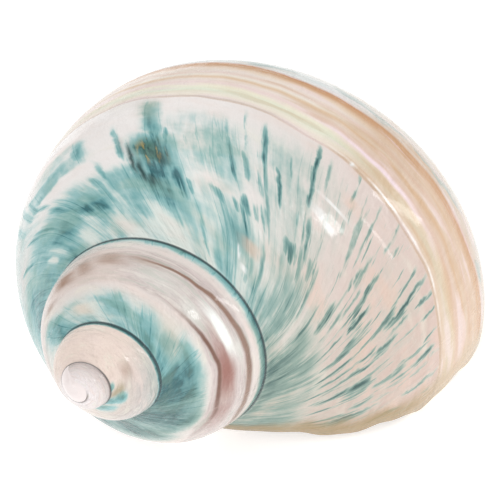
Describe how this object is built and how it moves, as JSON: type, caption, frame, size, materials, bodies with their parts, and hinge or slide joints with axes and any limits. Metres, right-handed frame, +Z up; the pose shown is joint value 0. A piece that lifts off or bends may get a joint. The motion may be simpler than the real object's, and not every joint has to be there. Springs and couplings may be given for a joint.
{
  "type": "sea snail shell",
  "caption": "Polished turban snail shell, a right-handed coiled tube with a low spire and a round open mouth, lying mouth down.",
  "frame": {"origin": "middle of the bounding box, on the table the shell lies on", "axes": "+Z up from the table; the tip of the spire points to -X and -Y, the outer lip lies at +X"},
  "size_m": [0.0608, 0.0478, 0.0429],
  "materials": {
    "shell": "polished, pearly"
  },
  "bodies": {
    "root": {"shell": "shell"}
  },
  "joints": []
}
